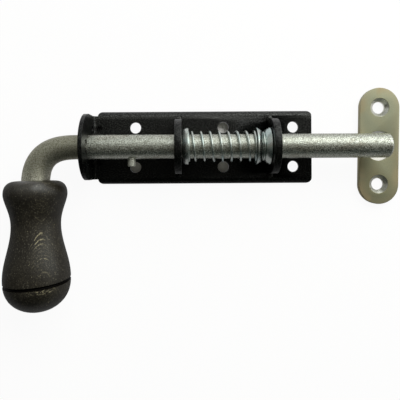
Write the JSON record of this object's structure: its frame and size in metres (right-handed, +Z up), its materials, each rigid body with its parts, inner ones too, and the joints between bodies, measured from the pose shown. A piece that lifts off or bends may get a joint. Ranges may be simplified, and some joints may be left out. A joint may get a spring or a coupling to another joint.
{
  "type": "spring bolt",
  "caption": "Spring-loaded sliding bolt on a pressed backplate with guide lugs, cupped washers, a cranked leg with turned handle, and a loose strike plate.",
  "frame": {"origin": "on the mounting surface, halfway along the edge of the backplate's handle-side flange", "axes": "+Z up from the mounting surface, +X along the bolt towards its tip, +Y across the backplate away from the handle"},
  "size_m": [0.2651, 0.1459, 0.0446],
  "materials": {
    "black_paint": "satin",
    "zinc_plate": "satin",
    "bright_zinc": "bright",
    "strike_zinc": "satin",
    "stained_wood": "satin"
  },
  "bodies": {
    "base": {"backplate": "black_paint", "middle_lug": "black_paint", "right_lug": "black_paint", "spring_seat_washer": "bright_zinc", "compression_spring": "bright_zinc", "strike_plate": "strike_zinc"},
    "slider": {"thrust_washer": "bright_zinc"},
    "bolt": {"bolt_rod": "zinc_plate", "stop_washer": "bright_zinc", "retaining_ring": "bright_zinc", "stop_pin": "zinc_plate", "handle_grip": "stained_wood"}
  },
  "joints": [
    {"name": "bolt_slide", "type": "slide", "parent": "base", "child": "slider", "axis": [-1, 0, 0], "range_m": [0, 0.025], "stiffness_N_per_m": 830, "springref_m": -0.0134, "deforming": ["compression_spring"]},
    {"name": "handle_turn", "type": "hinge", "parent": "slider", "child": "bolt", "pos_m": [-0.1084, 0.02375, 0.0182], "axis": [1, 0, 0], "range_deg": [-172.4, 0]}
  ]
}
